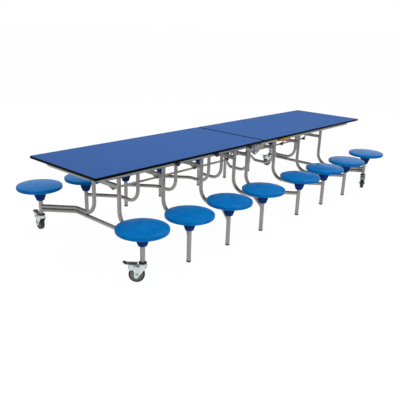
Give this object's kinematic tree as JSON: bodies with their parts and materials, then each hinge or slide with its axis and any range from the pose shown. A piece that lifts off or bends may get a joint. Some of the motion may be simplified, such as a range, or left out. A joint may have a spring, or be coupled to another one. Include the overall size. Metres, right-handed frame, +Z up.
{
  "type": "mobile folding table with attached swivel stools",
  "caption": "Long mobile folding table: hinged top halves on linked leg frames that carry round swivel stools, with braked castors under the corner stools.",
  "frame": {"origin": "on the floor, below the middle of the centre hinge", "axes": "+X along the table, +Y across it to the far row of stools, +Z up"},
  "size_m": [3.39, 1.52, 0.665],
  "materials": {
    "laminate": "matt high-pressure laminate in mid blue on a wood-based board",
    "edging": "black moulded edging, satin",
    "tube_grey": "satin silver-grey powder coat on steel tube",
    "seat_blue": "bright blue moulded seat on a navy moulded hub, fine satin grain",
    "rubber_black": "black rubber",
    "zinc": "bright zinc plate with a faint blue cast",
    "tyre_grey": "grey non-marking rubber on a grey moulded centre",
    "pedal_steel": "dark plated pressed steel",
    "black_plastic": "black moulded nylon",
    "lever_yellow": "yellow plastic-coated lever"
  },
  "bodies": {
    "leg_frame_1": {"leg_frame_1": "tube_grey", "left_castor_bushes": "black_plastic"},
    "left_top": {"left_top_board": "laminate", "left_top_edging": "edging", "left_underframe": "tube_grey", "left_pivot_pins": "zinc", "left_rail_buffers": "rubber_black", "hinge_pins": "zinc"},
    "right_top": {"right_top_board": "laminate", "right_top_edging": "edging", "right_underframe": "tube_grey", "right_pivot_pins": "zinc", "right_rail_buffers": "rubber_black"},
    "leg_frame_2": {"leg_frame_2": "tube_grey", "feet_2": "rubber_black"},
    "leg_frame_3": {"leg_frame_3": "tube_grey", "feet_3": "rubber_black"},
    "leg_frame_4": {"leg_frame_4": "tube_grey", "feet_4": "rubber_black"},
    "leg_frame_5": {"leg_frame_5": "tube_grey", "feet_5": "rubber_black"},
    "leg_frame_6": {"leg_frame_6": "tube_grey", "feet_6": "rubber_black"},
    "leg_frame_7": {"leg_frame_7": "tube_grey", "feet_7": "rubber_black"},
    "leg_frame_8": {"leg_frame_8": "tube_grey", "right_castor_bushes": "black_plastic"},
    "left_link": {"left_link_bar": "tube_grey", "left_link_bolts": "black_plastic"},
    "right_link": {"right_link_bar": "tube_grey", "right_link_bolts": "black_plastic"},
    "stool_near_1": {"seat_near_1": "seat_blue"},
    "stool_far_1": {"seat_far_1": "seat_blue"},
    "stool_near_2": {"seat_near_2": "seat_blue"},
    "stool_far_2": {"seat_far_2": "seat_blue"},
    "stool_near_3": {"seat_near_3": "seat_blue"},
    "stool_far_3": {"seat_far_3": "seat_blue"},
    "stool_near_4": {"seat_near_4": "seat_blue"},
    "stool_far_4": {"seat_far_4": "seat_blue"},
    "stool_near_5": {"seat_near_5": "seat_blue"},
    "stool_far_5": {"seat_far_5": "seat_blue"},
    "stool_near_6": {"seat_near_6": "seat_blue"},
    "stool_far_6": {"seat_far_6": "seat_blue"},
    "stool_near_7": {"seat_near_7": "seat_blue"},
    "stool_far_7": {"seat_far_7": "seat_blue"},
    "stool_near_8": {"seat_near_8": "seat_blue"},
    "stool_far_8": {"seat_far_8": "seat_blue"},
    "castor_left_near": {"castor_fork_left_near": "zinc"},
    "wheel_left_near": {"castor_wheel_left_near": "tyre_grey"},
    "pedal_left_near": {"brake_pedal_left_near": "pedal_steel"},
    "castor_left_far": {"castor_fork_left_far": "zinc"},
    "wheel_left_far": {"castor_wheel_left_far": "tyre_grey"},
    "pedal_left_far": {"brake_pedal_left_far": "pedal_steel"},
    "castor_right_near": {"castor_fork_right_near": "zinc"},
    "wheel_right_near": {"castor_wheel_right_near": "tyre_grey"},
    "pedal_right_near": {"brake_pedal_right_near": "pedal_steel"},
    "castor_right_far": {"castor_fork_right_far": "zinc"},
    "wheel_right_far": {"castor_wheel_right_far": "tyre_grey"},
    "pedal_right_far": {"brake_pedal_right_far": "pedal_steel"},
    "release_lever": {"release_lever": "lever_yellow"}
  },
  "joints": [
    {"name": "fold", "type": "hinge", "parent": "leg_frame_1", "child": "left_top", "pos_m": [-1.339, 0, 0.598], "axis": [0, -1, 0], "range_deg": [0, 88]},
    {"name": "centre_hinge", "type": "hinge", "parent": "left_top", "child": "right_top", "pos_m": [0, 0, 0.545], "axis": [0, 1, 0], "range_deg": [0, 176]},
    {"name": "leg_frame_2_pivot", "type": "hinge", "parent": "left_top", "child": "leg_frame_2", "pos_m": [-0.922, 0, 0.598], "axis": [0, 1, 0], "range_deg": [0, 88]},
    {"name": "leg_frame_3_pivot", "type": "hinge", "parent": "left_top", "child": "leg_frame_3", "pos_m": [-0.505, 0, 0.598], "axis": [0, 1, 0], "range_deg": [0, 88]},
    {"name": "leg_frame_4_pivot", "type": "hinge", "parent": "left_top", "child": "leg_frame_4", "pos_m": [-0.088, 0, 0.598], "axis": [0, 1, 0], "range_deg": [0, 88]},
    {"name": "leg_frame_5_pivot", "type": "hinge", "parent": "right_top", "child": "leg_frame_5", "pos_m": [0.088, 0, 0.598], "axis": [0, -1, 0], "range_deg": [0, 88]},
    {"name": "leg_frame_6_pivot", "type": "hinge", "parent": "right_top", "child": "leg_frame_6", "pos_m": [0.505, 0, 0.598], "axis": [0, -1, 0], "range_deg": [0, 88]},
    {"name": "leg_frame_7_pivot", "type": "hinge", "parent": "right_top", "child": "leg_frame_7", "pos_m": [0.922, 0, 0.598], "axis": [0, -1, 0], "range_deg": [0, 88]},
    {"name": "leg_frame_8_pivot", "type": "hinge", "parent": "right_top", "child": "leg_frame_8", "pos_m": [1.339, 0, 0.598], "axis": [0, -1, 0], "range_deg": [0, 88]},
    {"name": "left_link_pivot", "type": "hinge", "parent": "leg_frame_1", "child": "left_link", "pos_m": [-1.294, -0.0308, 0.443], "axis": [0, -1, 0], "range_deg": [0, 88]},
    {"name": "right_link_pivot", "type": "hinge", "parent": "leg_frame_8", "child": "right_link", "pos_m": [1.294, 0.0308, 0.443], "axis": [0, 1, 0], "range_deg": [0, 88]},
    {"name": "stool_near_1_swivel", "type": "hinge", "parent": "leg_frame_1", "child": "stool_near_1", "pos_m": [-1.516, -0.59, 0.281], "axis": [0, 0, 1], "continuous": true},
    {"name": "stool_far_1_swivel", "type": "hinge", "parent": "leg_frame_1", "child": "stool_far_1", "pos_m": [-1.516, 0.59, 0.281], "axis": [0, 0, 1], "continuous": true},
    {"name": "stool_near_2_swivel", "type": "hinge", "parent": "leg_frame_2", "child": "stool_near_2", "pos_m": [-1.099, -0.59, 0.269], "axis": [0, 0, 1], "continuous": true},
    {"name": "stool_far_2_swivel", "type": "hinge", "parent": "leg_frame_2", "child": "stool_far_2", "pos_m": [-1.099, 0.59, 0.269], "axis": [0, 0, 1], "continuous": true},
    {"name": "stool_near_3_swivel", "type": "hinge", "parent": "leg_frame_3", "child": "stool_near_3", "pos_m": [-0.682, -0.59, 0.269], "axis": [0, 0, 1], "continuous": true},
    {"name": "stool_far_3_swivel", "type": "hinge", "parent": "leg_frame_3", "child": "stool_far_3", "pos_m": [-0.682, 0.59, 0.269], "axis": [0, 0, 1], "continuous": true},
    {"name": "stool_near_4_swivel", "type": "hinge", "parent": "leg_frame_4", "child": "stool_near_4", "pos_m": [-0.265, -0.59, 0.269], "axis": [0, 0, 1], "continuous": true},
    {"name": "stool_far_4_swivel", "type": "hinge", "parent": "leg_frame_4", "child": "stool_far_4", "pos_m": [-0.265, 0.59, 0.269], "axis": [0, 0, 1], "continuous": true},
    {"name": "stool_near_5_swivel", "type": "hinge", "parent": "leg_frame_5", "child": "stool_near_5", "pos_m": [0.265, -0.59, 0.269], "axis": [0, 0, 1], "continuous": true},
    {"name": "stool_far_5_swivel", "type": "hinge", "parent": "leg_frame_5", "child": "stool_far_5", "pos_m": [0.265, 0.59, 0.269], "axis": [0, 0, 1], "continuous": true},
    {"name": "stool_near_6_swivel", "type": "hinge", "parent": "leg_frame_6", "child": "stool_near_6", "pos_m": [0.682, -0.59, 0.269], "axis": [0, 0, 1], "continuous": true},
    {"name": "stool_far_6_swivel", "type": "hinge", "parent": "leg_frame_6", "child": "stool_far_6", "pos_m": [0.682, 0.59, 0.269], "axis": [0, 0, 1], "continuous": true},
    {"name": "stool_near_7_swivel", "type": "hinge", "parent": "leg_frame_7", "child": "stool_near_7", "pos_m": [1.099, -0.59, 0.269], "axis": [0, 0, 1], "continuous": true},
    {"name": "stool_far_7_swivel", "type": "hinge", "parent": "leg_frame_7", "child": "stool_far_7", "pos_m": [1.099, 0.59, 0.269], "axis": [0, 0, 1], "continuous": true},
    {"name": "stool_near_8_swivel", "type": "hinge", "parent": "leg_frame_8", "child": "stool_near_8", "pos_m": [1.516, -0.59, 0.281], "axis": [0, 0, 1], "continuous": true},
    {"name": "stool_far_8_swivel", "type": "hinge", "parent": "leg_frame_8", "child": "stool_far_8", "pos_m": [1.516, 0.59, 0.281], "axis": [0, 0, 1], "continuous": true},
    {"name": "castor_left_near_swivel", "type": "hinge", "parent": "leg_frame_1", "child": "castor_left_near", "pos_m": [-1.516, -0.59, 0.141], "axis": [0, 0, 1], "continuous": true},
    {"name": "wheel_left_near_spin", "type": "hinge", "parent": "castor_left_near", "child": "wheel_left_near", "pos_m": [-1.54143, -0.56176, 0.052], "axis": [-0.7431, -0.6691, 0], "continuous": true},
    {"name": "pedal_left_near_press", "type": "hinge", "parent": "castor_left_near", "child": "pedal_left_near", "pos_m": [-1.5615, -0.53947, 0.1], "axis": [-0.7431, -0.6691, 0], "range_deg": [0, 10]},
    {"name": "castor_left_far_swivel", "type": "hinge", "parent": "leg_frame_1", "child": "castor_left_far", "pos_m": [-1.516, 0.59, 0.141], "axis": [0, 0, 1], "continuous": true},
    {"name": "wheel_left_far_spin", "type": "hinge", "parent": "castor_left_far", "child": "wheel_left_far", "pos_m": [-1.51137, 0.62772, 0.052], "axis": [-0.9925, 0.1219, 0], "continuous": true},
    {"name": "pedal_left_far_press", "type": "hinge", "parent": "castor_left_far", "child": "pedal_left_far", "pos_m": [-1.50771, 0.65749, 0.1], "axis": [-0.9925, 0.1219, 0], "range_deg": [0, 10]},
    {"name": "castor_right_near_swivel", "type": "hinge", "parent": "leg_frame_8", "child": "castor_right_near", "pos_m": [1.516, -0.59, 0.141], "axis": [0, 0, 1], "continuous": true},
    {"name": "wheel_right_near_spin", "type": "hinge", "parent": "castor_right_near", "child": "wheel_right_near", "pos_m": [1.48185, -0.60666, 0.052], "axis": [0.4384, -0.8988, 0], "continuous": true},
    {"name": "pedal_right_near_press", "type": "hinge", "parent": "castor_right_near", "child": "pedal_right_near", "pos_m": [1.45488, -0.61981, 0.1], "axis": [0.4384, -0.8988, 0], "range_deg": [0, 10]},
    {"name": "castor_right_far_swivel", "type": "hinge", "parent": "leg_frame_8", "child": "castor_right_far", "pos_m": [1.516, 0.59, 0.141], "axis": [0, 0, 1], "continuous": true},
    {"name": "wheel_right_far_spin", "type": "hinge", "parent": "castor_right_far", "child": "wheel_right_far", "pos_m": [1.4793, 0.59984, 0.052], "axis": [-0.2588, -0.9659, 0], "continuous": true},
    {"name": "pedal_right_far_press", "type": "hinge", "parent": "castor_right_far", "child": "pedal_right_far", "pos_m": [1.45032, 0.6076, 0.1], "axis": [-0.2588, -0.9659, 0], "range_deg": [0, 10]},
    {"name": "release_lever_pull", "type": "hinge", "parent": "right_top", "child": "release_lever", "pos_m": [0.437, -0.3383, 0.622], "axis": [0, -1, 0], "range_deg": [0, 15], "stiffness_Nm_per_rad": 0.4, "springref_deg": -17.19}
  ],
  "couplings": [
    {"joint": "centre_hinge", "follows": "fold", "ratio": 2},
    {"joint": "leg_frame_2_pivot", "follows": "fold", "ratio": 1},
    {"joint": "leg_frame_3_pivot", "follows": "fold", "ratio": 1},
    {"joint": "leg_frame_4_pivot", "follows": "fold", "ratio": 1},
    {"joint": "leg_frame_5_pivot", "follows": "fold", "ratio": 1},
    {"joint": "leg_frame_6_pivot", "follows": "fold", "ratio": 1},
    {"joint": "leg_frame_7_pivot", "follows": "fold", "ratio": 1},
    {"joint": "leg_frame_8_pivot", "follows": "fold", "ratio": 1},
    {"joint": "left_link_pivot", "follows": "fold", "ratio": 1},
    {"joint": "right_link_pivot", "follows": "fold", "ratio": 1}
  ]
}
